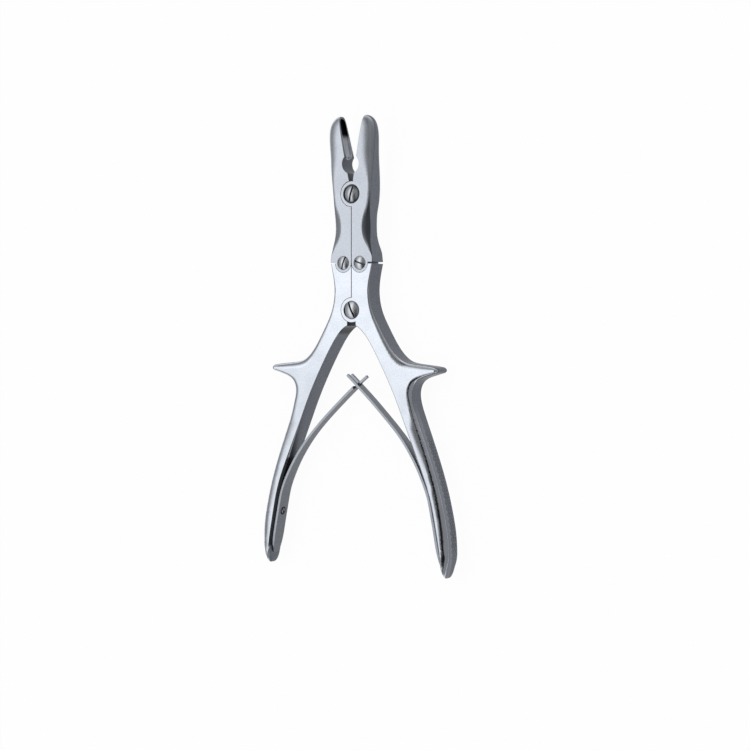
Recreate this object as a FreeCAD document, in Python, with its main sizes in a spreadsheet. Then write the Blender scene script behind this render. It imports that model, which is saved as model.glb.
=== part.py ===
import FreeCAD, Part
import math
import os
import re
import Sketcher
from FreeCAD import Placement, Rotation, Vector

# Double-action bone rongeur, millimetres. It lies on its back: +Z is the front face, +Y runs
# from the handle screw towards the jaws, and the origin is under the handle screw on the
# resting plane. Front half (upper layer) and rear half (lower layer) lap at half thickness.

doc = FreeCAD.newDocument("bone_rongeur")
sheet = doc.addObject("Spreadsheet::Sheet", "Sizes")
doc.recompute()

# Single sizes: name, value, what it is.
SIZES = [
    ("plate_thick", 10.0, "thickness of handles and jaw plates"),
    ("lap_gap", 0.1, "gap between front and rear layers"),
    ("centre_gap", 0.4, "gap between left and right plates"),
    ("jaw_pivot_up", 55.9, "jaw screw above handle screw"),
    ("link_up", 22.7, "link screws above handle screw"),
    ("link_side", 4.7, "link screws from the centre line"),
    ("right_shoulder_gap", 0.9, "slot between the right jaw and its handle"),
    ("left_shoulder_gap", 0.45, "same on the left"),
    ("open_angle", 10.5, "each jaw's opening at rest, degrees"),
    ("rim_gap", 0.1, "gap between closed rims"),
    ("jaw_boss_radius", 6.0, "boss round the jaw screw"),
    ("handle_boss_radius", 5.9, "boss round the handle screw"),
    ("boss_gap", 0.25, "gap round a boss"),
    ("lobe_radius", 4.5, "lobe round a link screw"),
    ("lobe_gap", 0.2, "gap round a lobe"),
    ("ring_bevel", 0.35, "bevel at the mouth of a screw seat"),
    ("notch_radius", 4.8, "relief notch behind the bite"),
    ("notch_up", 70.3, "centre of the relief notch"),
    ("crotch_top", -5.0, "top of the slot under the handle screw, hidden by the boss"),
    ("rear_share", 0.45, "rounding of a handle's rear edges as a share of the front ones"),
    ("end_rear_share", 0.8, "same share at the tip of the handle's end"),
    ("end_nose_across", 50.0, "point that the rounding of a handle's end runs towards"),
    ("end_nose_high", -114.5, "its height"),
    ("spur_nose_across", 44.0, "point that the rounding of a spur's tip runs towards"),
    ("spur_nose_high", -28.7, "its height"),
    ("cup_start", 20.6, "cup's lower ball from the jaw screw, along the rim"),
    ("cup_end", 34.7, "cup's upper ball from the jaw screw, along the rim"),
    ("cup_low_radius", 3.3, "cup's lower ball"),
    ("cup_high_radius", 2.75, "cup's upper ball"),
    ("cup_sink", 1.3, "cup's centre line behind the rim"),
    ("jaw_head_radius", 4.35, "jaw screw head"),
    ("jaw_head_proud", 0.8, "jaw screw dome above the face"),
    ("handle_head_radius", 4.2, "handle screw head"),
    ("handle_head_proud", 0.5, "handle screw dome above the face"),
    ("link_head_radius", 3.1, "link screw head"),
    ("link_head_proud", 0.25, "link screw dome above the face"),
    ("head_depth", 2.2, "depth of a head's seat"),
    ("head_gap", 0.1, "gap round and under a head"),
    ("big_shank_radius", 2.4, "shank of jaw and handle screws"),
    ("link_shank_radius", 1.7, "shank of link screws"),
    ("thread_gap", 0.03, "gap of a thread in its own piece"),
    ("running_gap", 0.1, "gap of a shank in the piece that turns on it"),
    ("jaw_running_gap", 0.25, "same at the jaw screw, where the linkage is left open"),
    ("slot_width", 1.0, "screwdriver slot of the large screws"),
    ("link_slot_width", 0.8, "screwdriver slot of the link screws"),
    ("slot_depth", 1.1, "depth of a screwdriver slot"),
    ("jaw_slot_turn", -15.8, "slot angles from +Y, degrees"),
    ("handle_slot_turn", 24.8, "slot of the handle screw"),
    ("left_slot_turn", -18.3, "slot of the left link screw"),
    ("right_slot_turn", 72.0, "slot of the right link screw"),
    ("spring_thick", 1.15, "spring strip"),
    ("spring_tail", 0.4, "its thickness at the foot's end"),
    ("spring_seat_gap", 0.12, "gap between foot and handle"),
    ("foot_width", 7.6, "spring's width along Z at the foot"),
    ("leaf_width", 5.1, "spring's width along Z at the tip"),
    ("taper_start_up", -92.0, "where the strip starts to narrow"),
    ("taper_end_up", -58.0, "where it has its tip width"),
    ("tongue_width", 1.7, "left spring's tongue"),
    ("fork_slot", 2.2, "slot between the right spring's prongs"),
    ("fork_root", 2.4, "end of that slot, right of the centre line"),
    ("tongue_root", 0.8, "shoulders of the tongue, left of the centre line"),
    ("spring_screw_up", -100.2, "spring screws"),
    ("spring_head_radius", 2.0, "spring screw head"),
    ("spring_head_sink", 0.7, "seat of that head in the foot"),
    ("spring_head_proud", 0.15, "its dome above the foot"),
    ("spring_shank_radius", 1.1, "spring screw shank"),
    ("spring_shank_length", 4.5, "shank below the head's seat"),
    ("spring_slot_width", 0.6, "its screwdriver slot"),
]

# Handle outline, right side, from the shoulder down the outer side, round the spur and the end,
# and up the inner side to the slot under the handle screw: name, across, up, run and drop of the
# rounded front edge. The shoulder's height comes from the link screws and the shoulder gap.
HANDLE = [
    ("shoulder", 11.9, None, 0.5, 0.3),
    ("collar", 10.9, 17.8, 0.5, 0.3),
    ("hub", 9.95, 9.5, 0.9, 0.4),
    ("pivot", 11.5, 0.0, 1.2, 0.5),
    ("flare", 15.2, -7.7, 1.7, 0.6),
    ("neck", 20.3, -16.2, 2.3, 0.8),
    ("spur_root", 25.0, -21.8, 3.0, 1.3),
    ("spur_bend", 29.6, -24.7, 3.4, 1.9),
    ("spur_back", 35.4, -25.8, 3.1, 2.3),
    ("spur_top", 41.4, -26.4, 2.6, 2.4),
    ("spur_shoulder", 45.4, -26.9, 1.6, 2.5),
    ("spur_crown", 47.2, -27.5, 1.5, 2.6),
    ("spur_tip", 47.9, -28.6, 1.9, 2.8),
    ("spur_lip", 47.2, -29.6, 1.5, 2.5),
    ("spur_belly", 45.1, -30.3, 1.1, 2.2),
    ("spur_under", 41.6, -31.3, 1.4, 1.6),
    ("spur_hollow", 38.1, -32.5, 1.6, 1.4),
    ("spur_cove", 35.2, -34.7, 2.3, 1.6),
    ("pinch", 33.7, -38.2, 2.8, 1.6),
    ("grip_neck", 33.7, -43.2, 2.6, 1.0),
    ("grip_top", 36.6, -52.0, 2.7, 1.0),
    ("grip_high", 40.8, -62.7, 3.2, 1.2),
    ("grip_mid", 45.3, -74.8, 3.8, 1.5),
    ("grip_low", 48.8, -85.8, 4.2, 1.75),
    ("palm", 51.4, -96.3, 4.4, 1.9),
    ("heel_high", 53.1, -105.5, 4.6, 2.1),
    ("heel", 53.7, -112.8, 4.2, 2.4),
    ("heel_low", 53.5, -118.0, 3.9, 2.8),
    ("end_out", 52.7, -122.3, 4.2, 3.5),
    ("end_round", 51.8, -125.2, 5.0, 4.2),
    ("end", 50.7, -126.6, 5.4, 4.4),
    ("end_back", 49.8, -125.3, 4.8, 4.2),
    ("end_in", 49.1, -122.4, 3.4, 3.8),
    ("toe", 48.5, -117.5, 1.2, 2.6),
    ("inner_low", 47.2, -110.0, 1.3, 1.6),
    ("inner_palm", 45.0, -98.5, 1.4, 1.5),
    ("inner_grip", 41.9, -86.0, 1.4, 1.4),
    ("inner_mid", 37.0, -72.5, 1.0, 1.0),
    ("inner_high", 33.2, -62.7, 0.6, 0.6),
    ("inner_top", 29.4, -53.4, 0.4, 0.4),
    ("inner_neck", 25.0, -43.0, 0.4, 0.4),
    ("inner_bend", 19.4, -31.6, 0.4, 0.4),
    ("arch_side", 13.2, -20.4, 0.4, 0.4),
    ("arch", 7.6, -12.0, 0.4, 0.4),
    ("arch_top", 4.4, -8.9, 0.4, 0.4),
    ("crotch", 2.5, -7.7, 0.4, 0.4),
]
# Stations whose rounding runs towards one point instead of straight in
NOSES = {"end": ("heel_low", "end_out", "end_round", "end", "end_back", "end_in"),
         "spur": ("spur_crown", "spur_tip", "spur_lip")}

# Jaw sections, right side, from the shoulder up: name, half width, up, run of the outer rear
# corner, its drop as a share of the section's thickness, the same two of the outer front corner,
# back face above the resting plane, front face above the plate's, and fullness of the corners
# (0.7 is round, 0 a flat bevel). The foot's height comes from the shoulder gap.
JAW = [
    ("jaw_foot", 12.0, None, 0.4, 0.04, 0.5, 0.03, 0.0, 0.0, 0.7),
    ("jaw_knee", 11.5, 27.4, 0.4, 0.05, 0.7, 0.03, 0.0, 0.0, 0.5),
    ("jaw_shin", 10.8, 30.5, 1.2, 0.12, 2.0, 0.05, 0.0, 0.0, 0.3),
    ("waist_low", 10.15, 35.0, 3.2, 0.24, 3.6, 0.12, 0.0, 0.0, 0.15),
    ("waist", 10.0, 40.0, 3.8, 0.28, 4.2, 0.16, 0.0, 0.0, 0.12),
    ("waist_high", 10.05, 46.0, 2.9, 0.26, 3.4, 0.1, 0.0, 0.0, 0.2),
    ("side_low", 10.35, 51.0, 1.6, 0.19, 2.0, 0.06, 0.0, 0.0, 0.45),
    ("side", 10.75, 56.5, 1.3, 0.18, 1.7, 0.05, 0.0, 0.0, 0.6),
    ("side_high", 11.25, 62.0, 1.8, 0.23, 2.0, 0.08, 0.4, 0.35, 0.7),
    ("spoon_low", 11.8, 68.0, 2.5, 0.3, 4.2, 0.135, 1.2, 0.8, 0.7),
    ("spoon", 12.3, 74.0, 3.0, 0.36, 6.0, 0.225, 2.2, 1.1, 0.7),
    ("spoon_high", 12.8, 80.0, 3.2, 0.4, 6.6, 0.267, 3.0, 1.25, 0.7),
    ("spoon_wide", 13.0, 85.0, 3.3, 0.42, 6.8, 0.31, 3.6, 1.2, 0.7),
    ("brow", 12.5, 88.6, 3.2, 0.438, 6.2, 0.35, 4.1, 0.95, 0.7),
    ("brow_high", 11.3, 91.2, 2.6, 0.448, 5.0, 0.41, 4.6, 0.4, 0.7),
    ("crown", 9.7, 92.7, 1.8, 0.432, 3.2, 0.432, 5.2, -0.4, 0.7),
    ("crown_top", 8.2, 93.4, 0.8, 0.4, 1.5, 0.4, 6.1, -1.4, 0.7),
]
JAW_COLUMNS = ("half", "high", "rear_run", "rear_drop", "front_run", "front_drop", "back", "front",
               "full")

# Free part of a spring from where it crosses the centre line to where it meets its handle: name,
# across (away from the centre), up on the right, and up on the left, which hangs lower.
SPRING = [
    ("tip_cross", 0.0, -35.2, -37.0),
    ("leaf_high", 5.0, -39.7, -41.3),
    ("leaf_upper", 10.4, -44.7, -46.2),
    ("leaf_middle", 16.7, -50.9, -52.1),
    ("leaf_lower", 22.9, -57.2, -58.4),
    ("leaf_low", 28.2, -63.4, -64.5),
    ("leaf_bend", 33.0, -70.3, -71.1),
    ("leaf_root", 36.7, -76.7, -77.2),
]
TIPS = [("right_tip", -4.2, -31.5), ("left_tip", -6.0, -32.1)]
FOOT_UPS = [("foot_top_up", -88.0), ("foot_upper_up", -96.0), ("foot_lower_up", -105.0),
            ("foot_low_up", -113.0), ("foot_end_up", -119.0)]

row = 0


def put(name, value, note=""):
    """Write one named number into the sheet."""
    global row
    if value is None:
        return
    row += 1
    sheet.set("A%d" % row, name.replace("_", " "))
    sheet.set("B%d" % row, str(value))
    sheet.setAlias("B%d" % row, name)
    if note:
        sheet.set("C%d" % row, note)


for name, value, note in SIZES:
    put(name, value, note)
for name, across, up, run, drop in HANDLE:
    for ending, value in (("across", across), ("high", up), ("run", run), ("drop", drop)):
        put("%s_%s" % (name, ending), value)
for name, *values in JAW:
    for ending, value in zip(JAW_COLUMNS, values):
        put("%s_%s" % (name, ending), value)
for name, across, up, left_up in SPRING:
    put(name + "_across", across)
    put("right_%s_high" % name, up)
    put("left_%s_high" % name, left_up)
for name, across, up in TIPS:
    put(name + "_across", across)
    put(name + "_high", up)
for name, value in FOOT_UPS:
    put(name, value)
doc.recompute()


def size(name):
    """Read one number back from the sheet."""
    return float(getattr(sheet, name))


def bind(thing, prop, text):
    """Tie a property to an expression of sheet names."""
    thing.setExpression(prop, re.sub(r"([a-z][a-z_]+)", r"Sizes.\1", text))


def cylinder(name, radius, low, high, across="0", up="0"):
    """An upright cylinder between two heights."""
    thing = doc.addObject("Part::Cylinder", name)
    bind(thing, "Radius", radius)
    bind(thing, "Height", "(%s) - (%s)" % (high, low))
    bind(thing, "Placement.Base.x", across)
    bind(thing, "Placement.Base.y", up)
    bind(thing, "Placement.Base.z", low)
    return thing


def bevel(name, radius, across, up):
    """The flared mouth of a screw seat in the front face."""
    thing = doc.addObject("Part::Cone", name)
    bind(thing, "Radius1", radius)
    bind(thing, "Radius2", "%s + 2 * ring_bevel" % radius)
    bind(thing, "Height", "2 * ring_bevel")
    bind(thing, "Placement.Base.x", across)
    bind(thing, "Placement.Base.y", up)
    bind(thing, "Placement.Base.z", "plate_thick - ring_bevel")
    return thing


def join(name, things):
    """Fuse several objects."""
    thing = doc.addObject("Part::MultiFuse", name)
    thing.Shapes = things
    thing.Refine = True
    return thing


def cut(name, base, tools):
    """Cut tools from a base."""
    thing = doc.addObject("Part::Cut", name)
    thing.Base = base
    thing.Tool = tools[0] if len(tools) == 1 else join(name + "_tools", tools)
    thing.Refine = True
    return thing


def shaped_object(name, shape):
    """Keep a profile or a free-form solid as an object of the document."""
    thing = doc.addObject("Part::Feature", name)
    thing.Shape = shape
    return thing


def line(start, end):
    return Part.LineSegment(start, end).toShape()


def loft(name, wires):
    """A smooth solid through closed profiles."""
    thing = doc.addObject("Part::Loft", name)
    thing.Sections = [shaped_object("%s_%02d" % (name, i), w) for i, w in enumerate(wires)]
    thing.Solid = True
    thing.Ruled = False
    return thing


def spaced(points):
    """Curve parameters that keep a spline calm through uneven spacing."""
    marks = [0.0]
    for a, b in zip(points, points[1:]):
        marks.append(marks[-1] + math.sqrt((b - a).Length))
    return marks


def spline(points, marks=None):
    curve = Part.BSplineCurve()
    curve.interpolate(Points=points, Parameters=marks or spaced(points))
    return curve


# Outlines in the plan view

SIDES = {"right": 1, "left": -1}
HALF_GAP = size("centre_gap") / 2
THICK = size("plate_thick")
HANDLE_NAMES = [n for n, *_ in HANDLE]


def handle_points(hand):
    """The handle's outline, as if on the right."""
    shoulder_up = size("link_up") - size(hand + "_shoulder_gap") / 2
    points = [Vector(size("shoulder_across"), shoulder_up, 0)]
    return points + [Vector(size(n + "_across"), size(n + "_high"), 0) for n in HANDLE_NAMES[1:]]


def rail_surface(rails, weights):
    """Surface whose rows of poles are curves with the same knots."""
    first = rails[0]
    count = len(rails)
    poles = [list(column) for column in zip(*[rail.getPoles() for rail in rails])]
    surface = Part.BSplineSurface()
    surface.buildFromPolesMultsKnots(
        poles, first.getMultiplicities(), [count, count], first.getKnots(), [0.0, 1.0],
        False, False, first.Degree, count - 1, [list(weights)] * len(poles))
    return surface


def handle_solid(hand):
    """A handle's plate: a wall along the outline, an elliptic corner to each face, two flat faces,
    and flat ends at the shoulder, the centre line and the slot under the handle screw."""
    side = SIDES[hand]
    points = handle_points(hand)
    marks = spaced(points)
    curve = spline(points, marks)
    inward = []
    for name, point, mark in zip(HANDLE_NAMES, points, marks):
        along = curve.tangent(mark)[0]
        inn = Vector(along.y, -along.x, 0)
        for nose, stations in NOSES.items():
            if name in stations:
                inn = Vector(size(nose + "_nose_across"), size(nose + "_nose_high"), 0) - point
        inward.append(inn.normalize())
    inward[0] = Vector(-1, 0, 0)
    inward[-1] = Vector(0, 1, 0)

    def rail(inside, height):
        ring = []
        for name, point, inn in zip(HANDLE_NAMES, points, inward):
            rear = size("end_rear_share" if name in NOSES["end"][1:] else "rear_share")
            run, drop = size(name + "_run"), size(name + "_drop")
            spot = point + inn * inside(run, rear)
            ring.append(Vector(side * spot.x, spot.y, height(drop, rear)))
        return spline(ring, marks)

    def outside(run, rear):
        return 0

    low_edge = rail(outside, lambda drop, rear: drop * rear)
    high_edge = rail(outside, lambda drop, rear: THICK - drop)
    back_rail = rail(lambda run, rear: run * rear, lambda drop, rear: 0)
    front_rail = rail(lambda run, rear: run, lambda drop, rear: THICK)
    low_corner = rail(outside, lambda drop, rear: 0)
    high_corner = rail(outside, lambda drop, rear: THICK)
    round_weights = [1, math.sqrt(0.5), 1]
    walls = [rail_surface([back_rail, low_corner, low_edge], round_weights),
             rail_surface([low_edge, high_edge], [1, 1]),
             rail_surface([high_edge, high_corner, front_rail], round_weights)]
    faces = [wall.toShape() for wall in walls]

    shoulder_up, slot_top, slot_half = points[0].y, size("crotch_top"), size("crotch_across")
    turns = [(slot_half, slot_top), (HALF_GAP, slot_top), (HALF_GAP, shoulder_up)]

    def spot(turn, height):
        return Vector(side * turn[0], turn[1], height)

    for edge, height in ((back_rail, 0), (front_rail, THICK)):
        start, end = edge.value(edge.FirstParameter), edge.value(edge.LastParameter)
        path = [end] + [spot(turn, height) for turn in turns] + [start]
        closing = [line(a, b) for a, b in zip(path, path[1:])]
        faces.append(Part.Face(Part.Wire([edge.toShape()] + closing)))
    for turn, first in ((turns[-1], True), (turns[0], False)):
        iso = [wall.uIso(wall.bounds()[0 if first else 1]).toShape() for wall in walls]
        low, high = [edge.value(edge.FirstParameter if first else edge.LastParameter)
                     for edge in (back_rail, front_rail)]
        path = [high, spot(turn, THICK), spot(turn, 0), low]
        faces.append(Part.Face(Part.Wire(iso + [line(a, b) for a, b in zip(path, path[1:])])))
    for one, two in zip(turns, turns[1:]):
        faces.append(Part.Face(Part.makePolygon([spot(one, 0), spot(two, 0), spot(two, THICK),
                                                 spot(one, THICK), spot(one, 0)])))
    skin = Part.Compound(faces)
    skin.sewShape()
    solid = Part.Solid(skin.Shells[0])
    if solid.Volume < 0:
        solid.reverse()
    return solid


def corner(start, through, end, full):
    """A conic corner, round or flat."""
    curve = Part.BezierCurve()
    curve.setPoles([start, through, end])
    curve.setWeight(2, full)
    return curve.toShape()


def jaw_sections(hand):
    """Sections of a jaw at rising heights, from past the centre line to the outer side."""
    side = SIDES[hand]
    inner = -2 * size("centre_gap")
    wires = []
    for name, *_ in JAW:
        half, rear_run, rear_drop, front_run, front_drop, back, front, full = [
            size("%s_%s" % (name, ending)) for ending in JAW_COLUMNS if ending != "high"]
        front += THICK
        rear_drop *= front - back
        front_drop *= front - back
        if name == "jaw_foot":
            up = size("link_up") + size(hand + "_shoulder_gap") / 2
        else:
            up = size(name + "_high")

        def spot(across, height):
            return Vector(side * across, up, height)

        rear_end, front_end = spot(half - rear_run, back), spot(half - front_run, front)
        low, high = spot(half, back + rear_drop), spot(half, front - front_drop)
        edges = [line(spot(inner, back), rear_end), corner(rear_end, spot(half, back), low, full),
                 line(low, high), corner(high, spot(half, front), front_end, full),
                 line(front_end, spot(inner, front)), line(spot(inner, front), spot(inner, back))]
        wires.append(Part.Wire(edges))
    return wires


# Heights of the two layers, as expressions of the sheet
BELOW = "0 - plate_thick"
ABOVE = "2 * plate_thick"
REAR_TOP = "plate_thick / 2 - lap_gap / 2"
FRONT_FOOT = "plate_thick / 2 + lap_gap / 2"


def seat(name, front, radius, gap, across, up):
    """Cutter that clears one layer round a turning disc."""
    if front:
        return cylinder(name, "%s + %s" % (radius, gap), REAR_TOP, ABOVE, across, up)
    return cylinder(name, "%s + %s" % (radius, gap), BELOW, FRONT_FOOT, across, up)


def disc(name, front, radius, across, up):
    """Boss or lobe that fills one layer."""
    if front:
        return cylinder(name, radius, FRONT_FOOT, "plate_thick", across, up)
    return cylinder(name, radius, "0", REAR_TOP, across, up)


def socket(name, head, shank, gap, across, up):
    """Cutters for a screw's head, bevelled mouth and running shank in the front layer."""
    return [cylinder(name + "_head", "%s + head_gap" % head, "plate_thick - head_depth", ABOVE,
                     across, up),
            cylinder(name + "_shank", "%s + %s" % (shank, gap), BELOW, ABOVE, across, up),
            bevel(name + "_mouth", head, across, up)]


def thread(name, shank, across, up):
    """Threaded hole in the rear layer, plain."""
    return cylinder(name, "%s + thread_gap" % shank, BELOW, ABOVE, across, up)


def inner_face(hand, up):
    """Point of a handle's inner face at a height, and the way out of it, as if on the right."""
    points = handle_points(hand)
    marks = spaced(points)
    curve = spline(points, marks)
    low, high = marks[HANDLE_NAMES.index("end_in")], marks[-1]
    while high - low > 1e-6:
        middle = (low + high) / 2
        if curve.value(middle).y < up:
            low = middle
        else:
            high = middle
    along = curve.tangent(low)[0]
    return curve.value(low), Vector(-along.y, along.x, 0)


def spring_screw_frame(hand):
    """Placement at the foot's inner face, Z pointing at the centre of the tool."""
    side = SIDES[hand]
    face, out = inner_face(hand, size("spring_screw_up"))
    spot = face + out * (size("spring_seat_gap") + size("spring_thick"))
    spot = Vector(side * spot.x, spot.y, THICK / 2)
    out = Vector(side * out.x, out.y, 0)
    return Placement(spot, Rotation(Vector(0, 0, 1), out))


def hole_along(name, radius, low, high, frame):
    """Round cutter along a frame's own Z axis."""
    thing = doc.addObject("Part::Cylinder", name)
    bind(thing, "Radius", radius)
    bind(thing, "Height", "(%s) - (%s)" % (high, low))
    thing.Placement = frame.multiply(Placement(Vector(0, 0, size_of(low)), Rotation()))
    return thing


def size_of(text):
    """Work out an expression of sheet names in numbers."""
    return float(sheet.evalExpression(text))


FINISHED = {}


def finish(name, thing):
    thing.Label = name
    FINISHED[name] = thing


def make_handle(hand):
    side = SIDES[hand]
    front_boss = hand == "right"
    link = "%d * link_side" % side
    name = hand + "_handle"
    plate = shaped_object(name + "_plate", handle_solid(hand))
    carved = cut(name + "_carved", plate, [
        seat(name + "_boss_seat", not front_boss, "handle_boss_radius", "boss_gap", "0", "0"),
        seat(name + "_lobe_seat", True, "lobe_radius", "lobe_gap", link, "link_up")])
    built = join(name + "_built", [
        carved,
        disc(name + "_boss", front_boss, "handle_boss_radius", "0", "0"),
        disc(name + "_lobe", False, "lobe_radius", link, "link_up")])
    holes = [thread(name + "_link_thread", "link_shank_radius", link, "link_up"),
             hole_along(name + "_spring_thread", "spring_shank_radius + thread_gap",
                        "0 - spring_thick - spring_seat_gap - spring_shank_length",
                        "spring_thick", spring_screw_frame(hand))]
    if front_boss:
        holes += socket(name + "_socket", "handle_head_radius", "big_shank_radius", "running_gap",
                        "0", "0")
    else:
        holes.append(thread(name + "_thread", "big_shank_radius", "0", "0"))
    finish(name, cut(name, built, holes))


def trim_boxes(name, side):
    """Boxes that take a jaw back to the centre plane below its pivot and to its rim above it."""
    pivot = Vector(0, size("jaw_pivot_up"), 0)
    reach = 2 * size("crown_top_high")
    boxes = []
    for part, turn, gap, way in (("low", 0, size("centre_gap"), -1),
                                 ("rim", -side * size("open_angle"), size("rim_gap"), 1)):
        box = doc.addObject("Part::Box", "%s_trim_%s" % (name, part))
        box.Length, box.Width, box.Height = reach, reach, reach
        corner_spot = Vector(gap / 2 - reach if side > 0 else -gap / 2,
                             0 if way > 0 else -reach, -reach / 2)
        box.Placement = Placement(pivot, Rotation(Vector(0, 0, 1), turn)).multiply(
            Placement(corner_spot, Rotation()))
        boxes.append(box)
    return boxes


def cup(name, side):
    """The hollow of the bite: a tapered capsule behind the rim, turned about its long axis."""
    angle = math.radians(size("open_angle"))
    along = Vector(side * math.sin(angle), math.cos(angle), 0)
    into = Vector(side * math.cos(angle), -math.sin(angle), 0)
    spots = []
    for reach, near in (("cup_start", "spoon"), ("cup_end", "brow")):
        spot = Vector(0, size("jaw_pivot_up"), 0) + along * size(reach) + into * size("cup_sink")
        spot.z = (size(near + "_back") + THICK + size(near + "_front")) / 2
        spots.append(spot)
    low, high = size("cup_low_radius"), size("cup_high_radius")
    length = (spots[1] - spots[0]).Length
    lean = math.asin((low - high) / length)

    def on_ball(centre, radius, turn):
        return Vector(radius * math.cos(turn), 0, centre + radius * math.sin(turn))

    pole = math.pi / 2
    foot, foot_side, foot_end = [on_ball(0, low, t) for t in (-pole, (lean - pole) / 2, lean)]
    top_start, top_side, top = [on_ball(length, high, t) for t in (lean, (lean + pole) / 2, pole)]
    outline = Part.Wire([Part.Arc(foot, foot_side, foot_end).toShape(), line(foot_end, top_start),
                         Part.Arc(top_start, top_side, top).toShape(), line(top, foot)])
    turned = doc.addObject("Part::Revolution", name)
    turned.Source = shaped_object(name + "_outline", Part.Face(outline))
    turned.Axis = Vector(0, 0, 1)
    turned.Angle = 360
    turned.Solid = True
    turned.Placement = Placement(spots[0], Rotation(Vector(0, 0, 1), spots[1] - spots[0]))
    return turned


def make_jaw(hand):
    side = SIDES[hand]
    front_boss = hand == "right"
    link = "%d * link_side" % side
    name = hand + "_jaw"
    plate = loft(name + "_plate", jaw_sections(hand))
    carved = cut(name + "_carved", plate, trim_boxes(name, side) + [
        seat(name + "_boss_seat", not front_boss, "jaw_boss_radius", "boss_gap", "0", "jaw_pivot_up"),
        seat(name + "_boss_root", front_boss, "jaw_boss_radius", "0", "0", "jaw_pivot_up"),
        seat(name + "_lobe_seat", False, "lobe_radius", "lobe_gap", link, "link_up"),
        seat(name + "_lobe_root", True, "lobe_radius", "0", link, "link_up"),
        cylinder(name + "_notch", "notch_radius", BELOW, ABOVE, "0", "notch_up"),
        cup(name + "_cup", side)])
    built = join(name + "_built", [
        carved,
        disc(name + "_boss", front_boss, "jaw_boss_radius", "0", "jaw_pivot_up"),
        disc(name + "_lobe", True, "lobe_radius", link, "link_up")])
    holes = socket(name + "_link", "link_head_radius", "link_shank_radius", "running_gap",
                   link, "link_up")
    if front_boss:
        holes += socket(name + "_socket", "jaw_head_radius", "big_shank_radius", "jaw_running_gap",
                        "0", "jaw_pivot_up")
    else:
        holes.append(thread(name + "_thread", "big_shank_radius", "0", "jaw_pivot_up"))
    finish(name, cut(name, built, holes))


def origin_plane(body, role):
    return [f for f in body.Origin.OriginFeatures if f.Role == role][0]


def name_constraint(sketch, label, constraint, text):
    """Add a named dimension and tie it to an expression of sheet names."""
    sketch.addConstraint(constraint)
    sketch.renameConstraint(sketch.ConstraintCount - 1, label)
    bind(sketch, "Constraints." + label, text)


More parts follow.
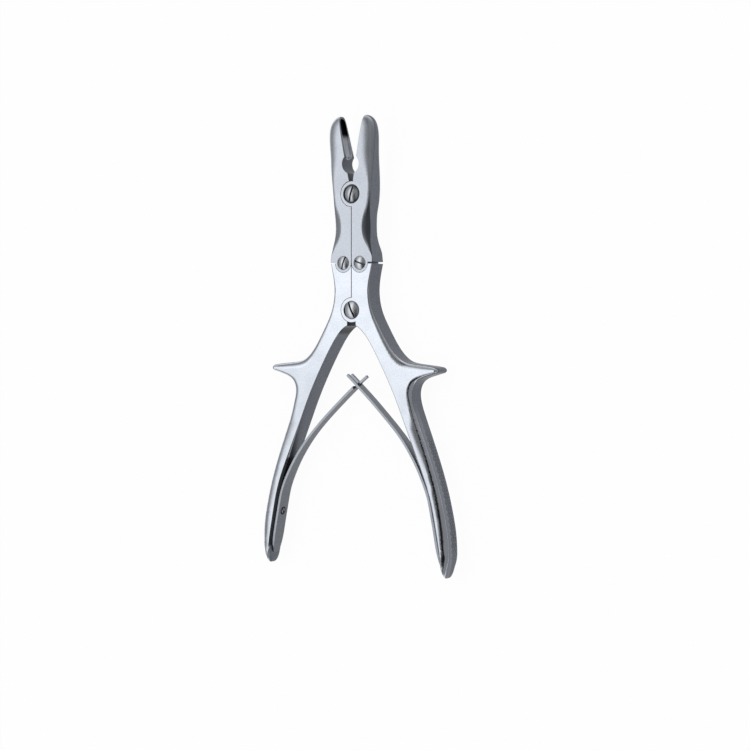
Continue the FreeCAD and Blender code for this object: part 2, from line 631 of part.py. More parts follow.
def screw(name, shank, head, bottom, under, rim, top, slot_width, slot_turn):
    """Slotted screw with a domed head: a turned profile and one milled slot, on its own Z axis."""
    body = doc.addObject("PartDesign::Body", name)
    sketch = body.newObject("Sketcher::SketchObject", name + "_profile")
    sketch.AttachmentSupport = [(origin_plane(body, "XZ_Plane"), "")]
    sketch.MapMode = "FlatFace"
    low, seat_high, edge, crown = size_of(bottom), size_of(under), size_of(rim), size_of(top)
    shank_r, head_r = size_of(shank), size_of(head)
    marks = [Vector(0, low, 0), Vector(shank_r, low, 0), Vector(shank_r, seat_high, 0),
             Vector(head_r, seat_high, 0), Vector(head_r, edge, 0)]
    for start, end in zip(marks, marks[1:]):
        sketch.addGeometry(Part.LineSegment(start, end), False)
    rise = crown - edge
    dome = (head_r ** 2 + rise ** 2) / (2 * rise)
    circle = Part.Circle(Vector(0, crown - dome, 0), Vector(0, 0, 1), dome)
    start_turn = math.atan2(edge - (crown - dome), head_r)
    sketch.addGeometry(Part.ArcOfCircle(circle, start_turn, math.pi / 2), False)
    sketch.addGeometry(Part.LineSegment(Vector(0, crown, 0), Vector(0, low, 0)), False)
    rule = Sketcher.Constraint
    for first in range(3):
        sketch.addConstraint(rule("Coincident", first, 2, first + 1, 1))
    sketch.addConstraint(rule("Coincident", 3, 2, 4, 1))
    sketch.addConstraint(rule("Coincident", 4, 2, 5, 1))
    sketch.addConstraint(rule("Coincident", 5, 2, 0, 1))
    for flat in (0, 2):
        sketch.addConstraint(rule("Horizontal", flat))
    for upright in (1, 3):
        sketch.addConstraint(rule("Vertical", upright))
    sketch.addConstraint(rule("PointOnObject", 5, 1, -2))
    sketch.addConstraint(rule("PointOnObject", 5, 2, -2))
    sketch.addConstraint(rule("PointOnObject", 4, 3, -2))
    for label, kind, spot, value, text in (
            ("shank", "DistanceX", (0, 2), shank_r, shank),
            ("head", "DistanceX", (2, 2), head_r, head),
            ("bottom", "DistanceY", (0, 2), low, bottom),
            ("under", "DistanceY", (1, 2), seat_high, under),
            ("rim", "DistanceY", (3, 2), edge, rim),
            ("top", "DistanceY", (4, 2), crown, top)):
        name_constraint(sketch, label, rule(kind, -1, 1, spot[0], spot[1], value), text)
    turned = body.newObject("PartDesign::Revolution", name + "_turned")
    turned.Profile = sketch
    turned.ReferenceAxis = (sketch, ["V_Axis"])
    turned.Angle = 360
    groove = body.newObject("Sketcher::SketchObject", name + "_slot_outline")
    groove.AttachmentSupport = [(origin_plane(body, "XY_Plane"), "")]
    groove.MapMode = "FlatFace"
    groove.AttachmentOffset = Placement(Vector(0, 0, crown),
                                        Rotation(Vector(0, 0, 1), size_of(slot_turn)))
    bind(groove, "AttachmentOffset.Base.z", top)
    slot_length = "2 * %s + %s" % (head, slot_width)
    width, length = size_of(slot_width), size_of(slot_length)
    spots = [Vector(width / 2, length / 2, 0), Vector(-width / 2, length / 2, 0),
             Vector(-width / 2, -length / 2, 0), Vector(width / 2, -length / 2, 0)]
    for start, end in zip(spots, spots[1:] + spots[:1]):
        groove.addGeometry(Part.LineSegment(start, end), False)
    for first in range(4):
        groove.addConstraint(rule("Coincident", first, 2, (first + 1) % 4, 1))
    for flat in (0, 2):
        groove.addConstraint(rule("Horizontal", flat))
    for upright in (1, 3):
        groove.addConstraint(rule("Vertical", upright))
    groove.addConstraint(rule("Symmetric", 0, 1, 2, 1, -1, 1))
    name_constraint(groove, "width", rule("DistanceX", 0, 2, 0, 1, width), slot_width)
    name_constraint(groove, "length", rule("DistanceY", 1, 2, 1, 1, length), slot_length)
    milled = body.newObject("PartDesign::Pocket", name + "_slot")
    milled.Profile = groove
    bind(milled, "Length", "slot_depth")
    body.Tip = milled
    finish(name, body)
    return body


def upright_screw(name, shank, head, proud, width, turn, across, up):
    body = screw(name, shank, head, "0", "plate_thick - head_depth + head_gap",
                 "plate_thick - ring_bevel", "plate_thick + " + proud, width, turn)
    bind(body, "Placement.Base.x", across)
    bind(body, "Placement.Base.y", up)


def spring_line(hand):
    """Points along the middle of a strip, tip to foot, as if on the right."""
    points = [Vector(size(hand + "_tip_across"), size(hand + "_tip_high"), 0)]
    for name, *_ in SPRING:
        points.append(Vector(size(name + "_across"), size("%s_%s_high" % (hand, name)), 0))
    lift = size("spring_thick") / 2 + size("spring_seat_gap")
    for name, _ in FOOT_UPS:
        face, out = inner_face(hand, size(name))
        points.append(face + out * lift)
    return points


def make_spring(hand):
    side = SIDES[hand]
    name = hand + "_spring"
    points = spring_line(hand)
    marks = spaced(points)
    curve = spline(points, marks)
    half = size("spring_thick") / 2
    edges = []
    for way in (1, -1):
        ring = []
        for mark, point in zip(marks, points):
            along = curve.tangent(mark)[0]
            reach = half
            if way < 0 and point is points[-1]:
                reach = size("spring_tail") - half
            spot = point + Vector(-along.y, along.x, 0) * (way * reach)
            ring.append(Vector(side * spot.x, spot.y, 0))
        edges.append((ring, spline(ring, marks).toShape()))
    (one, one_edge), (two, two_edge) = edges
    outline = Part.Face(Part.Wire(Part.__sortEdges__(
        [one_edge, line(one[-1], two[-1]), two_edge, line(two[0], one[0])])))
    strip = doc.addObject("Part::Extrusion", name + "_strip")
    strip.Base = shaped_object(name + "_outline", outline)
    strip.DirMode = "Custom"
    strip.Dir = Vector(0, 0, 1)
    bind(strip, "LengthFwd", "foot_width")
    bind(strip, "Placement.Base.z", "plate_thick / 2 - foot_width / 2")
    strip.Solid = True

    # The side view: clipped corners at the foot, a taper, and a narrow leaf up to the tip
    wide, narrow, clip = size("foot_width") / 2, size("leaf_width") / 2, size("foot_width") / 4
    foot_end = points[-1].y - size("spring_thick")
    beyond = size("foot_width")
    right_line = [(foot_end, wide - clip), (foot_end + clip, wide), (size("taper_start_up"), wide),
                  (size("taper_end_up"), narrow), (points[0].y + beyond, narrow)]
    far = -max(abs(point.x) for point in points) - beyond
    ring = [Vector(far, up, THICK / 2 + w) for up, w in right_line]
    ring += [Vector(far, up, THICK / 2 - w) for up, w in reversed(right_line)]
    profile = doc.addObject("Part::Extrusion", name + "_widths")
    profile.Base = shaped_object(name + "_side", Part.Face(Part.makePolygon(ring + ring[:1])))
    profile.DirMode = "Custom"
    profile.Dir = Vector(1, 0, 0)
    profile.LengthFwd = -2 * far
    profile.Solid = True
    shaped = doc.addObject("Part::MultiCommon", name + "_shaped")
    shaped.Shapes = [strip, profile]
    frame = spring_screw_frame(hand)
    tools = [hole_along(name + "_hole", "spring_shank_radius + running_gap", "0 - 2 * spring_thick",
                        "spring_thick", frame),
             hole_along(name + "_head_seat", "spring_head_radius + running_gap",
                        "0 - spring_head_sink", "spring_thick", frame)]
    tools += tip_boxes(name, hand, points[0])
    finish(name, cut(name, shaped, tools))


def tip_boxes(name, hand, tip):
    """Boxes that split the right strip's end into two prongs or thin the left one to a tongue."""
    if hand == "right":
        root = size("fork_root")
        heights = [(THICK / 2 - size("fork_slot") / 2, THICK / 2 + size("fork_slot") / 2)]
    else:
        root = size("tongue_root")
        heights = [(0, THICK / 2 - size("tongue_width") / 2),
                   (THICK / 2 + size("tongue_width") / 2, THICK)]
    reach = 2 * (root - tip.x)
    boxes = []
    for number, (low, high) in enumerate(heights):
        box = doc.addObject("Part::Box", "%s_gap_%d" % (name, number))
        box.Length, box.Width, box.Height = reach, 2 * reach, high - low
        start = root - reach if hand == "right" else -root
        box.Placement = Placement(Vector(start, tip.y - reach, low), Rotation())
        boxes.append(box)
    return boxes


def make_spring_screw(hand):
    body = screw(hand + "_spring_screw", "spring_shank_radius", "spring_head_radius",
                 "0 - spring_head_sink - spring_shank_length", "0 - spring_head_sink + thread_gap",
                 "0 - thread_gap", "spring_head_proud", "spring_slot_width", "handle_slot_turn")
    body.Placement = spring_screw_frame(hand)


for hand in SIDES:
    make_handle(hand)
    make_jaw(hand)
    make_spring(hand)
    make_spring_screw(hand)
upright_screw("jaw_screw", "big_shank_radius", "jaw_head_radius", "jaw_head_proud",
              "slot_width", "jaw_slot_turn", "0", "jaw_pivot_up")
upright_screw("handle_screw", "big_shank_radius", "handle_head_radius", "handle_head_proud",
              "slot_width", "handle_slot_turn", "0", "0")
upright_screw("left_link_screw", "link_shank_radius", "link_head_radius", "link_head_proud",
              "link_slot_width", "left_slot_turn", "0 - link_side", "link_up")
upright_screw("right_link_screw", "link_shank_radius", "link_head_radius", "link_head_proud",
              "link_slot_width", "right_slot_turn", "link_side", "link_up")
doc.recompute()

# Every object must have worked out before anything is written.
for thing in doc.Objects:
    if "Invalid" in thing.State or "Error" in thing.State:
        raise RuntimeError("%s failed: %s" % (thing.Name, thing.State))
for name, thing in FINISHED.items():
    shape = thing.Shape
    if shape.isNull() or not shape.isValid():
        raise RuntimeError("%s has no valid shape" % name)
    print("%-18s solids %d  volume %9.1f  faces %d"
          % (name, len(shape.Solids), shape.Volume, len(shape.Faces)))

os.makedirs("parts", exist_ok=True)
for name, thing in FINISHED.items():
    thing.Shape.exportStep("parts/%s.step" % name)
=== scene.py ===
import math
import bmesh
import bpy
from mathutils import Matrix, Vector
from mathutils.bvhtree import BVHTree


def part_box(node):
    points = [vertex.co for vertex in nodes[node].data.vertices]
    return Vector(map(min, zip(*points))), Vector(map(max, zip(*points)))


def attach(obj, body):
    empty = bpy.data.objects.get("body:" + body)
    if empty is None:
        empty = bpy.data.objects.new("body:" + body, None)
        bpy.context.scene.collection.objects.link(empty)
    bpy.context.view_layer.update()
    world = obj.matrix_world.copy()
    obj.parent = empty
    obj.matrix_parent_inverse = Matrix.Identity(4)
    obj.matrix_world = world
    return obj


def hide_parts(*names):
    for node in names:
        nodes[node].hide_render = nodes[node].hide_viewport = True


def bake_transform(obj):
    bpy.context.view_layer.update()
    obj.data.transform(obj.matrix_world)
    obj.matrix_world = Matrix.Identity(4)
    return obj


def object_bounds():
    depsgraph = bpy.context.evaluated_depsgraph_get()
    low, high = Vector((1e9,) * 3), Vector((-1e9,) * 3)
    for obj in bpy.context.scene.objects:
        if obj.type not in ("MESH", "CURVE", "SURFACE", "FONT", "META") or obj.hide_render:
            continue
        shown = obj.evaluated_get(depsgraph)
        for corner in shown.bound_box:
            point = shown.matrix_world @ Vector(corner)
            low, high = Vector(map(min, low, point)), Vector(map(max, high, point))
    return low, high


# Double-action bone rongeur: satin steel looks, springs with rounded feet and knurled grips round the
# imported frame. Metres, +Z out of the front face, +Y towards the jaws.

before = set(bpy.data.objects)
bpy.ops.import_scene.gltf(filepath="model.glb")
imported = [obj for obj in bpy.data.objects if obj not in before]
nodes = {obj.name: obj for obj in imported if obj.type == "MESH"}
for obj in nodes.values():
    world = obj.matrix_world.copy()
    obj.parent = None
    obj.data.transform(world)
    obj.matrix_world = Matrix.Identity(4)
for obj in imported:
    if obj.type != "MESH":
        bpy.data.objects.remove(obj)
loadedBox = [list(corner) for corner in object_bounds()]
handSide = {"right": 1, "left": -1}
print("frame loaded")


# A socket's value that can be used in plain expressions

class Wire:
    def __init__(self, graph, socket):
        self.graph, self.socket = graph, socket

    def maths(self, operation, *others, swapped=False):
        values = [self, *others]
        if swapped:
            values.reverse()
        return self.graph.node("ShaderNodeMath", {"operation": operation}, values)

    def __add__(self, other): return self.maths("ADD", other)
    def __sub__(self, other): return self.maths("SUBTRACT", other)
    def __mul__(self, other): return self.maths("MULTIPLY", other)
    def __truediv__(self, other): return self.maths("DIVIDE", other)
    def __pow__(self, other): return self.maths("POWER", other)
    def __rsub__(self, other): return self.maths("SUBTRACT", other, swapped=True)
    __radd__ = __add__
    __rmul__ = __mul__

    def absolute(self):
        return self.maths("ABSOLUTE")

    def ramped(self, low, high):
        # 0 below low, 1 above high, smooth between; either may be the larger
        inputs = {"Value": self, "From Min": low, "From Max": high}
        return self.graph.node("ShaderNodeMapRange", {"interpolation_type": "SMOOTHSTEP"}, inputs)


# A node tree with one method that adds any node

class Graph:
    def __init__(self, tree):
        self.tree = tree
        tree.nodes.clear()

    def node(self, kind, settings=None, inputs=None, output=0):
        made = self.tree.nodes.new(kind)
        for key, value in (settings or {}).items():
            setattr(made, key, value)
        pairs = inputs.items() if isinstance(inputs, dict) else enumerate(inputs or [])
        for key, value in pairs:
            socket = made.inputs[key]
            if isinstance(value, Wire):
                self.tree.links.new(value.socket, socket)
            else:
                socket.default_value = value
        return Wire(self, made.outputs[output])

    def blended(self, factor, first, second):
        # two colours mixed by a value; 6, 7 and output 2 are the Mix node's colour sockets
        pair = [c if isinstance(c, Wire) else (*c, 1) for c in (first, second)]
        inputs = {0: factor, 6: pair[0], 7: pair[1]}
        return self.node("ShaderNodeMix", {"data_type": "RGBA"}, inputs, output=2)

    def noise(self, place, scale, detail=2.0):
        inputs = {"Vector": place, "Scale": scale, "Detail": detail}
        return self.node("ShaderNodeTexNoise", None, inputs)

    def relief(self, height, strength, depth):
        inputs = {"Height": height, "Strength": strength, "Distance": depth}
        return self.node("ShaderNodeBump", None, inputs)

    def split(self, vector):
        # the three parts of a vector
        parts = self.tree.nodes.new("ShaderNodeSeparateXYZ")
        self.tree.links.new(vector.socket, parts.inputs[0])
        return [Wire(self, parts.outputs[i]) for i in range(3)]

    def endOn(self, shader, kind="ShaderNodeOutputMaterial"):
        last = self.tree.nodes.new(kind)
        self.tree.links.new(shader.socket, last.inputs["Surface"])

    def endOnMetal(self, tone, rough, relief=None):
        inputs = {"Base Color": tone, "Metallic": 1.0, "Roughness": rough}
        if relief:
            inputs["Normal"] = relief
        self.endOn(self.node("ShaderNodeBsdfPrincipled", None, inputs))


def newMaterial(name):
    material = bpy.data.materials.new(name)
    material.use_nodes = True
    return material, Graph(material.node_tree)


def dress(piece, material):
    piece.data.materials.clear()
    piece.data.materials.append(material)


def placed(name, data):
    # an object of its own in the scene
    thing = bpy.data.objects.new(name, data)
    bpy.context.scene.collection.objects.link(thing)
    return thing


farOut = 0.08


def skinOf(mesh):
    return BVHTree.FromPolygons([v.co for v in mesh.vertices], [p.vertices for p in mesh.polygons])


def outerSpot(skin, side, up, height):
    # where a level ray from outside first meets a skin
    return skin.ray_cast(Vector((side * farOut, up, height)), Vector((-side, 0, 0)))


# Steel finishes. Faces that look up are satin bright; flanks are rougher, and their darker colour is
# painted shade.
# Each pair of numbers is a ramp's start and end.

steel = {"stretch": (9000, 900, 9000), "grainDetail": 3.0, "clouds": 120.0, "satin": 1300.0,
         "pits": 2600.0, "cloudy": (0.35, 0.65), "speckled": (0.3, 0.7), "cloudShare": 0.4,
         "faceSpread": (0.88, 1.04), "flankSpread": (0.72, 1.22), "roughSpread": 0.06, "relief": 0.35}
handleLook = {"face": (0.74, 0.77, 0.83), "flank": (0.128, 0.139, 0.163), "faceRough": 0.12,
              "flankRough": 0.42, "grainDepth": 0.000008, "flankToFace": (0.40, 0.56),
              "shadedStretches": [(0.001, -0.0115, 0.9), (-0.073, -0.1180, 0.9)],
              "band": {"tone": (0.20, 0.21, 0.235), "outward": (0.002, 0.012),
                       "along": (-0.042, -0.058), "height": (0.0052, 0.0058)}}
jawLook = {"face": (0.67, 0.70, 0.76), "flank": (0.135, 0.147, 0.172), "faceRough": 0.29,
           "flankRough": 0.40, "grainDepth": 0.00003, "flankToFace": (0.42, 0.62),
           "shadedStretches": [(0.0668, 0.050, 0.92), (0.0775, 0.0668, 0.35)],
           # facet: painted shade on the jaws' facets beside the outer flank
           "facet": {"tone": (0.045, 0.05, 0.062), "outward": (0.001, 0.003), "top": (0.060, 0.048),
                     "bottom": (0.02, 0.028), "filedShaded": (0.985, 0.955), "rounded": (0.96, 0.86),
                     "offFlank": (0.12, 0.35), "middle": (-0.001, 0.001), "above": 0.25,
                     "right": 0.85, "left": 0.12, "rough": 0.16},
           # cup: painted shade and a painted highlight streak in the hollow of each jaw's tip
           "cup": {"from": (0.00503, 0.07592, 0.00665), "to": (0.0076, 0.08978, 0.007525),
                   "wide": 0.0033, "narrow": 0.00275, "edge": (0.00012, 0.00002),
                   "dark": (0.04, 0.042, 0.05), "bright": (0.93, 0.95, 0.98),
                   "side": (0.55, 0.57, 0.61), "brightBelow": (0.0856, 0.0826),
                   "brightUp": (-0.2, 0.3), "rough": 0.36}}
springLook = {"face": (0.48, 0.50, 0.55), "flank": (0.15, 0.16, 0.18), "faceRough": 0.3,
              "flankRough": 0.36, "grainDepth": 0.00002, "flankToFace": (0.5, 0.9), "shadedStretches": []}
# near-black painted shade on inner sides where two parts nearly touch
creviceShade = {"tone": (0.016, 0.018, 0.024), "inward": (-0.0005, -0.003), "steep": (0.98, 0.90),
         "soft": 0.001}


def cupMask(graph, cup, across, lengthwise, height):
    # 1 on the walls of the hollow in a jaw's tip, found by the distance from its axis
    first, last = Vector(cup["from"]), Vector(cup["to"])
    length = (last - first).length
    way = (last - first) / length
    gone = [axis - start for axis, start in zip((across, lengthwise, height), first)]
    along = gone[0] * way.x + gone[1] * way.y + gone[2] * way.z
    held = along.maths("MAXIMUM", 0.0).maths("MINIMUM", length)
    beside = [part - held * share for part, share in zip(gone, way)]
    distance = (beside[0] * beside[0] + beside[1] * beside[1] + beside[2] * beside[2]) ** 0.5
    reach = cup["wide"] + (cup["narrow"] - cup["wide"]) / length * held
    return (distance - reach).ramped(*cup["edge"])


def cupPaintedLight(graph, cup, lengthwise, up):
    # painted shade up at the tip of the hollow; lower down, walls that face up carry a painted highlight
    # streak and the rest a mid grey
    paintedStreak = graph.blended(up.ramped(*cup["brightUp"]), cup["side"], cup["bright"])
    return graph.blended(lengthwise.ramped(*cup["brightBelow"]), cup["dark"], paintedStreak)


def spreadTone(graph, factor, colour, spread):
    # one colour between its darker and its lighter self
    darker, lighter = [[c * share for c in colour] for share in spread]
    return graph.blended(factor, darker, lighter)


def steelMaterial(name, look):
    material, graph = newMaterial(name)
    place = graph.node("ShaderNodeTexCoord", output="Object")
    across, lengthwise, height = graph.split(place)
    sideways, _, up = graph.split(graph.node("ShaderNodeTexCoord", output="Normal"))
    upness = up.absolute()
    outness = across * sideways
    faceShare = upness.ramped(*look["flankToFace"])
    # fine lengthwise grain, and slow clouds from hand polishing
    stretched = graph.node("ShaderNodeMapping", None, {"Vector": place, "Scale": steel["stretch"]})
    grain = graph.noise(stretched, 1.0, steel["grainDetail"])
    clouds = graph.noise(place, steel["clouds"])
    satin = graph.noise(place, steel["satin"])
    pits = graph.noise(place, steel["pits"])
    mottle = clouds.ramped(*steel["cloudy"]) * steel["cloudShare"] \
        + satin.ramped(*steel["speckled"]) * (1 - steel["cloudShare"])
    faceTone = spreadTone(graph, mottle, look["face"], steel["faceSpread"])
    # the flanks' dark colour is painted shade
    shadedFlankTone = spreadTone(graph, pits.ramped(*steel["speckled"]), look["flank"], steel["flankSpread"])
    if "band" in look:
        # the smooth strip of the grip's outer side that lies above its knurling, where the flank's painted
        # shade is a lighter grey
        band = look["band"]
        strip = outness.ramped(*band["outward"]) * lengthwise.ramped(*band["along"]) \
            * height.ramped(*band["height"])
        shadedFlankTone = graph.blended(strip, shadedFlankTone, band["tone"])
    tone = graph.blended(faceShare, shadedFlankTone, faceTone)
    # painted shade where two parts nearly touch on the inner side, in the given stretches of the length
    inward = outness.ramped(*creviceShade["inward"]) * upness.ramped(*creviceShade["steep"])
    soft = creviceShade["soft"]
    for high, low, strength in look["shadedStretches"]:
        stretch = lengthwise.ramped(low - soft, low + soft) * lengthwise.ramped(high + soft, high - soft)
        tone = graph.blended(inward * stretch * strength, tone, creviceShade["tone"])
    rough = look["flankRough"] + (look["faceRough"] - look["flankRough"]) * faceShare
    if "facet" in look:
        # the facets between face and outer flank: filed and smooth at the waist, where they are painted
        # near-black as shade, far more on the right-hand jaw, and painted a lighter shade on the rounded
        # edges above it
        facet = look["facet"]
        outer = outness.ramped(*facet["outward"])
        offFlank = upness.ramped(*facet["offFlank"])
        waist = lengthwise.ramped(*facet["top"]) * lengthwise.ramped(*facet["bottom"])
        filedShaded = outer * waist * upness.ramped(*facet["filedShaded"]) * offFlank
        rounded = outer * (1 - waist) * upness.ramped(*facet["rounded"]) * offFlank
        # how strongly the waist facets are painted as shade, far more on the right-hand jaw
        shadeMeasure = facet["left"] + (facet["right"] - facet["left"]) * across.ramped(*facet["middle"])
        tone = graph.blended(filedShaded * shadeMeasure + rounded * facet["above"], tone, facet["tone"])
        rough = rough * (1 - filedShaded) + filedShaded * facet["rough"]
    if "cup" in look:
        # painted shade and a painted highlight streak inside each jaw tip's hollow
        hollow = cupMask(graph, look["cup"], across.absolute(), lengthwise, height)
        tone = graph.blended(hollow, tone, cupPaintedLight(graph, look["cup"], lengthwise, up))
        rough = rough * (1 - hollow) + hollow * look["cup"]["rough"]
    rough = rough + (clouds - 0.5) * steel["roughSpread"]
    relief = graph.relief(grain + (1 - faceShare) * pits, steel["relief"], look["grainDepth"])
    graph.endOnMetal(tone, rough, relief)
    return material


screwLook = {"colour": (0.78, 0.80, 0.84), "slot": (0.03, 0.032, 0.036), "slotDepth": (0.0012, 0.0004),
             "turned": 1500.0, "shine": 300.0, "rough": 0.2, "roughSpread": 0.06,
             "relief": 0.2, "grainDepth": 0.00002}


def screwMaterial(name, look, top):
    # a polished head; the slot's floor lies below the given height and is painted dark as shade
    material, graph = newMaterial(name)
    place = graph.node("ShaderNodeTexCoord", output="Object")
    turned = graph.noise(place, look["turned"])
    shine = graph.noise(place, look["shine"], 1.0)
    height = graph.split(place)[2]
    aboveSlot = height.ramped(*[top - depth for depth in look["slotDepth"]])
    # the slot's floor is painted dark as shade
    tone = graph.blended(aboveSlot, look["slot"], look["colour"])
    relief = graph.relief(turned, look["relief"], look["grainDepth"])
    graph.endOnMetal(tone, look["rough"] + shine * look["roughSpread"], relief)
    return material


# a dark head, darkest at its rim, as painted shade
footScrewLook = {"rim": (0.012, 0.013, 0.016), "middle": (0.20, 0.21, 0.24), "rimToMiddle": (0.7, 0.45),
                 "stain": 900.0, "stainSpread": 0.3, "rough": 0.4, "roughSpread": 0.1}


def footScrewMaterial(name, look):
    # painted shade darkens the countersunk head, most of all at its rim
    material, graph = newMaterial(name + "_steel")
    place = graph.node("ShaderNodeTexCoord", output="Object")
    low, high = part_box(name)
    parts = graph.split(place)
    upAway = parts[1] - (low.y + high.y) / 2
    outAway = parts[2] - (low.z + high.z) / 2
    distance = (upAway * upAway + outAway * outAway) ** 0.5 / ((high.z - low.z) / 2)
    stain = graph.noise(place, look["stain"])
    shadeMeasure = distance + (stain - 0.5) * look["stainSpread"]
    tone = graph.blended(shadeMeasure.ramped(*look["rimToMiddle"]), look["rim"], look["middle"])
    graph.endOnMetal(tone, look["rough"] + stain * look["roughSpread"])
    return material


handleSteel = steelMaterial("handleSteel", handleLook)
jawSteel = steelMaterial("jawSteel", jawLook)
springSteel = steelMaterial("springSteel", springLook)
for hand in handSide:
    dress(nodes[hand + "_handle"], handleSteel)
    dress(nodes[hand + "_jaw"], jawSteel)
for name in ("jaw_screw", "handle_screw", "left_link_screw", "right_link_screw"):
    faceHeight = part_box(name)[1].z
    dress(nodes[name], screwMaterial(name + "Steel", screwLook, faceHeight))
for hand in handSide:
    dress(nodes[hand + "_spring_screw"], footScrewMaterial(hand + "_spring_screw", footScrewLook))
print("steel finishes set")


# Grips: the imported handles, with the front of the outer side worn to a wide crown and a full
# shoulder. The wear grows from "from" to "full" and fades from "fade" to "gone" along the grip.

shoulder = {"from": -0.044, "full": -0.058, "fade": -0.116, "gone": -0.1245, "reach": 0.005,
            "wide": 0.0043, "shoulder": 0.00155, "deep": 0.0020, "start": 0.0007, "slant": 0.115,
            "bend": 60.0, "steepest": 12, "leastUp": 0.06, "leastFlat": 0.01, "leastRest": 1e-6}


def easeBetween(value, low, high):
    share = min(1, max(0, (value - low) / (high - low)))
    return share * share * (3 - 2 * share)


def crownDrop(inside):
    # how far the crown lies below the face, and its slope, at a distance inside the outline
    left = shoulder["wide"] - inside
    start, slant, bend = shoulder["start"], shoulder["slant"], shoulder["bend"]
    if left < start:
        drop, slope = slant / start * left ** 2 / 2, slant * left / start
    else:
        more = left - start
        drop, slope = slant * (start / 2 + more) + bend * more ** 2 / 2, slant + bend * more
    if inside < shoulder["shoulder"]:
        part = 1 - max(0, inside) / shoulder["shoulder"]
        rest = math.sqrt(max(shoulder["leastRest"], 1 - part * part))
        drop += shoulder["deep"] * (1 - rest)
        slope += shoulder["deep"] / shoulder["shoulder"] * part / rest
    return drop, slope


def shoulderedHandle(hand):
    side = handSide[hand]
    mesh = nodes[hand + "_handle"].data.copy()
    skin = skinOf(mesh)
    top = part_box(hand + "_handle")[1].z
    normals = [Vector(c.vector) for c in mesh.corner_normals]
    changed = {}
    for vertex in mesh.vertices:
        place = vertex.co
        share = easeBetween(place.y, shoulder["from"], shoulder["full"]) \
            * easeBetween(place.y, shoulder["gone"], shoulder["fade"])
        if share <= 0 or place.z < top - shoulder["reach"]:
            continue
        hit = outerSpot(skin, side, place.y, top / 2)[0]
        if hit is None:
            continue
        inside = (hit.x - place.x) * side
        if inside >= shoulder["wide"]:
            continue
        drop, slope = crownDrop(inside)
        extra = drop - (top - place.z)
        if extra > 0:
            changed[vertex.index] = (share, slope)
            place.z -= share * extra
    # the new surface's directions, worked out from its slope
    for loop in mesh.loops:
        if loop.vertex_index in changed:
            share, slope = changed[loop.vertex_index]
            old = normals[loop.index]
            flat = Vector((old.x, old.y, 0))
            if old.z > shoulder["leastUp"]:
                way = flat.normalized() if flat.length > shoulder["leastFlat"] else Vector((side, 0, 0))
                tilt = (1 - share) * flat.length / old.z + share * min(slope, shoulder["steepest"])
                normals[loop.index] = (way * tilt + Vector((0, 0, 1))).normalized()
    mesh.normals_split_custom_set(normals)
    piece = placed(hand + "_handle_worn", mesh)
    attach(piece, hand + "_handle_arm")
    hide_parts(hand + "_handle")
    dress(piece, handleSteel)
    print(hand, "grip: vertices moved", len(changed))
    return piece


wornHandles = {hand: shoulderedHandle(hand) for hand in handSide}
print("grips shouldered")


# Springs: new strips built from the imported ones, which are hidden.
# Each foot's end is rounded off over its toe and runs a little further down the grip.

springBend = {"footPart": 0.52, "toe": 0.009, "cuts": 10, "round": 0.62, "longer": 0.0025,
              "sharp": 0.5, "weld": 1e-6, "cutMerge": 1e-7}


def bendingSpring(hand):
    side = handSide[hand]
    low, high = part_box(hand + "_spring")
    form = bmesh.new()
    form.from_mesh(nodes[hand + "_spring"].data)
    bmesh.ops.remove_doubles(form, verts=form.verts, dist=springBend["weld"])
    # cuts across the foot, so that its end can be rounded off
    for step in range(1, springBend["cuts"]):
        level = low.y + springBend["toe"] * step / springBend["cuts"]
        everything = form.verts[:] + form.edges[:] + form.faces[:]
        bmesh.ops.bisect_plane(form, geom=everything, plane_co=(0, level, 0), plane_no=(0, 1, 0),
                               dist=springBend["cutMerge"])
    middle = (low.z + high.z) / 2
    skin = skinOf(nodes[hand + "_handle"].data)

    def gripEdge(up):
        # where the grip's inner side is at a height
        hit = skin.ray_cast(Vector((0, up, middle)), Vector((side, 0, 0)))[0]
        return hit.x if hit else None

    for vertex in form.verts:
        gone = (low.y + springBend["toe"] - vertex.co.y) / springBend["toe"]
        if gone > 0:
            kept = 1 - springBend["round"] * (1 - math.sqrt(max(0, 1 - gone ** 2)))
            vertex.co.z = middle + (vertex.co.z - middle) * kept
            lower = vertex.co.y - gone * springBend["longer"]
            before, after = gripEdge(vertex.co.y), gripEdge(lower)
            if before is not None and after is not None:
                vertex.co.x += after - before
                vertex.co.y = lower
    bmesh.ops.triangulate(form, faces=form.faces)
    form.verts.index_update()
    mesh = bpy.data.meshes.new(hand + "_spring_strip")
    mesh.from_pydata([v.co[:] for v in form.verts], [], [[v.index for v in f.verts] for f in form.faces])
    form.free()
    mesh.shade_smooth()
    mesh.set_sharp_from_angle(angle=springBend["sharp"])
    piece = placed(hand + "_spring_strip", mesh)
    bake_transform(piece)
    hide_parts(hand + "_spring")
    dress(piece, springSteel)


for hand in handSide:
    bendingSpring(hand)


# Knurled outer grips: rows of small pyramids laid on the handles' outer flanks

knurl = {"top": -0.053, "bottom": -0.121, "long": 0.0029, "high": 0.0019, "rows": 3, "low": 0.0019,
         "lift": 0.00022, "sunk": 0.00012, "fill": 0.48, "flatTop": 0.35, "fadeIn": 8, "fadeOut": 6,
         "valley": (0.075, 0.08, 0.093), "ridge": (0.17, 0.178, 0.2), "towardPoints": (0.15, 0.8),
         "blotches": 700.0, "blotchy": (0.7, 0.5), "rough": 0.4, "relief": 0.3, "grainDepth": 0.00003}


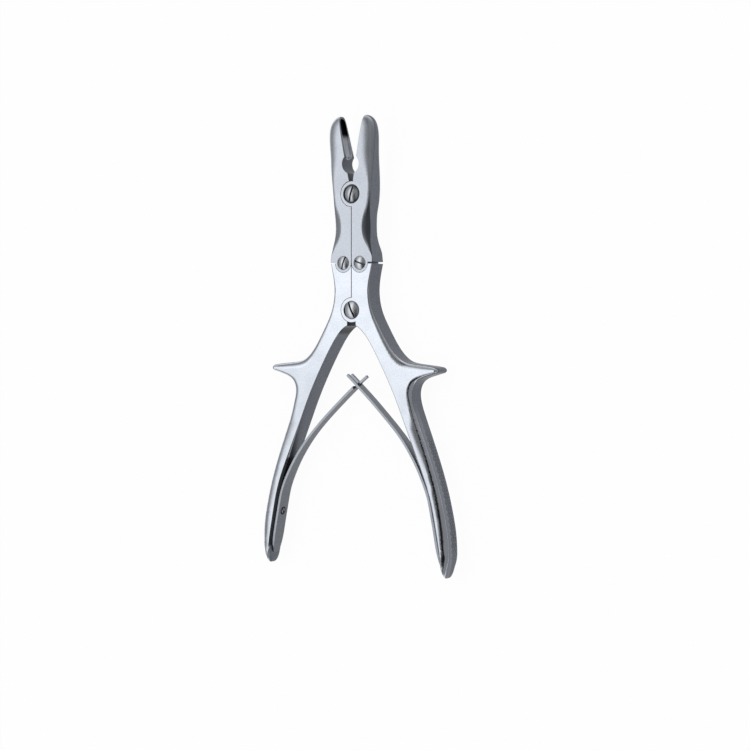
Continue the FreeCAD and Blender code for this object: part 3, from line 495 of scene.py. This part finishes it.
def knurlMaterial():
    # pyramids are darker at their bases and lighter towards their points, in blotches
    material, graph = newMaterial("knurledSteel")
    worn = graph.node("ShaderNodeAttribute", {"attribute_name": "worn"}, output=2)
    place = graph.node("ShaderNodeTexCoord", output="Object")
    blotches = graph.noise(place, knurl["blotches"])
    least, spread = knurl["blotchy"]
    towardPoints = worn.ramped(*knurl["towardPoints"]) * (least + blotches * spread)
    tone = graph.blended(towardPoints, knurl["valley"], knurl["ridge"])
    relief = graph.relief(blotches, knurl["relief"], knurl["grainDepth"])
    graph.endOnMetal(tone, knurl["rough"], relief)
    return material


def addPyramid(form, wear, place, normal, lift):
    # a low pyramid with a flat top, its base sunk a little into the flank
    along = (Vector((0, 1, 0)) - normal * normal.y).normalized() * knurl["long"] * knurl["fill"]
    across = normal.cross(along).normalized() * knurl["high"] * knurl["fill"]
    ways = (along, across, -along, -across)
    corners = [form.verts.new(place + way - normal * knurl["sunk"]) for way in ways]
    points = [form.verts.new(place + way * knurl["flatTop"] + normal * lift) for way in ways]
    for point in points:
        point[wear] = 1.0
    for i in range(4):
        after = (i + 1) % 4
        form.faces.new((corners[i], corners[after], points[after], points[i]))
    form.faces.new(points)
    form.faces.new(corners[::-1])


def knurledGrip(hand, material):
    side = handSide[hand]
    skin = skinOf(wornHandles[hand].data)
    form = bmesh.new()
    wear = form.verts.layers.float.new("worn")
    count = int((knurl["top"] - knurl["bottom"]) / (knurl["long"] / 2))
    for step in range(count):
        up = knurl["top"] - step * knurl["long"] / 2
        fade = min(1, (step + 1) / knurl["fadeIn"], (count - step) / knurl["fadeOut"])
        for row in range(knurl["rows"]):
            if row == knurl["rows"] - 1 and step % 2:
                continue
            height = knurl["low"] + (row + 0.5 * (step % 2)) * knurl["high"]
            place, normal = outerSpot(skin, side, up, height)[:2]
            if place is not None:
                addPyramid(form, wear, place, normal, knurl["lift"] * fade)
    bmesh.ops.recalc_face_normals(form, faces=form.faces)
    mesh = bpy.data.meshes.new(hand + "_knurl")
    form.to_mesh(mesh)
    form.free()
    piece = placed(hand + "_knurl", mesh)
    dress(piece, material)
    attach(piece, hand + "_handle_arm")


knurledSteel = knurlMaterial()
for hand in handSide:
    knurledGrip(hand, knurledSteel)
print("grips knurled")


# Floor, lights and camera

floorLook = {"size": 12.0, "below": 0.0002, "colour": (0.9, 0.9, 0.9), "white": 0.88, "glow": 1.08}


def paleFloor():
    # shows white to the camera and in reflections, and still takes a faint shadow
    form = bmesh.new()
    half = floorLook["size"] / 2
    corners = ((-half, -half, 0), (half, -half, 0), (half, half, 0), (-half, half, 0))
    form.faces.new([form.verts.new(corner) for corner in corners])
    mesh = bpy.data.meshes.new("floor")
    form.to_mesh(mesh)
    form.free()
    floor = placed("floor", mesh)
    floor.location.z = loadedBox[0][2] - floorLook["below"]
    material, graph = newMaterial("paleFloor")
    rays = [graph.node("ShaderNodeLightPath", output=ray)
            for ray in ("Is Camera Ray", "Is Glossy Ray", "Is Transmission Ray")]
    seen = (rays[0] + rays[1] + rays[2]) * floorLook["white"]
    plain = graph.node("ShaderNodeBsdfDiffuse", None, {"Color": (*floorLook["colour"], 1)})
    bright = graph.node("ShaderNodeEmission", None, {"Color": (1, 1, 1, 1), "Strength": floorLook["glow"]})
    mixed = graph.node("ShaderNodeMixShader", None, {0: seen, 1: plain, 2: bright})
    graph.endOn(mixed)
    dress(floor, material)


# Angles in degrees from straight overhead
cameraSetup = {"aim": (0.01034, -0.03135, 0.005), "round": 32.10, "above": 2.14, "distance": 0.8097,
               "lens": 80.52, "sensor": 36}


def cameraBack(setup):
    around, above = math.radians(setup["round"]), math.radians(setup["above"])
    return Vector((math.sin(around) * math.cos(above), math.sin(above), math.cos(around) * math.cos(above)))


def photoCamera(setup):
    back = cameraBack(setup)
    data = bpy.data.cameras.new("camera")
    data.lens, data.sensor_width = setup["lens"], setup["sensor"]
    camera = placed("camera", data)
    acrossWay = Vector((0, 1, 0)).cross(back).normalized()
    upWay = back.cross(acrossWay)
    turn = Matrix((acrossWay, upWay, back)).transposed()
    spot = Vector(setup["aim"]) + back * setup["distance"]
    camera.matrix_world = Matrix.Translation(spot) @ turn.to_4x4()
    bpy.context.scene.camera = camera


# The studio: a bright sheet up to the left, which flat faces mirror, a dark gap beside it and
# grey walls. Angles in degrees from overhead: across, where right is positive, and lengthwise.

studio = {"sheetLeft": (-60, -39), "sheetRight": (-18.5, -27), "sheetLong": (60, 8), "sheet": 1.06,
          "leftWall": 0.30, "leftRise": (-20, -40), "gap": 0.004, "rightWall": 0.27,
          "rightRise": (-5.5, 7), "endWall": 0.12, "endRise": (14, 34), "far": 0.5,
          "farRise": (84, 98), "farEnd": (48, 75), "colour": (0.96, 0.98, 1, 1)}


def studioWorld():
    world = bpy.data.worlds.new("studio")
    world.use_nodes = True
    bpy.context.scene.world = world
    graph = Graph(world.node_tree)
    x, y, z = graph.split(graph.node("ShaderNodeTexCoord", output="Generated"))
    across = x.maths("ARCTAN2", z).maths("DEGREES")
    along = y.maths("ARCSINE").maths("DEGREES")
    sheet = across.ramped(*studio["sheetLeft"]) * across.ramped(*studio["sheetRight"]) \
        * along.absolute().ramped(*studio["sheetLong"])
    onRight = studio["gap"] + (studio["rightWall"] - studio["gap"]) * across.ramped(*studio["rightRise"])
    onRight = onRight + along.ramped(*studio["endRise"]) * studio["endWall"]
    onLeft = across.ramped(*studio["leftRise"])
    wall = onRight * (1 - onLeft) + studio["leftWall"] * onLeft
    far = across.ramped(*studio["farRise"]).maths("MAXIMUM", along.absolute().ramped(*studio["farEnd"]))
    wall = wall + far * studio["far"]
    level = wall + (studio["sheet"] - wall) * sheet
    sky = graph.node("ShaderNodeBackground", None, {"Color": studio["colour"], "Strength": level})
    graph.endOn(sky, "ShaderNodeOutputWorld")


keyLamp = {"spot": (-0.5, 0.3, 1.2), "size": 0.9, "power": 0.5}


def softLamp(name, setup):
    data = bpy.data.lights.new(name, "AREA")
    data.energy, data.size = setup["power"], setup["size"]
    lamp = placed(name, data)
    lamp.location = setup["spot"]
    lamp.rotation_mode = "QUATERNION"
    lamp.rotation_quaternion = (-Vector(setup["spot"])).to_track_quat("-Z", "Y")


paleFloor()
photoCamera(cameraSetup)
studioWorld()
softLamp("keyLamp", keyLamp)
bpy.context.scene.view_settings.view_transform = "Standard"
print("floor, lights and camera set")

bpy.context.view_layer.update()
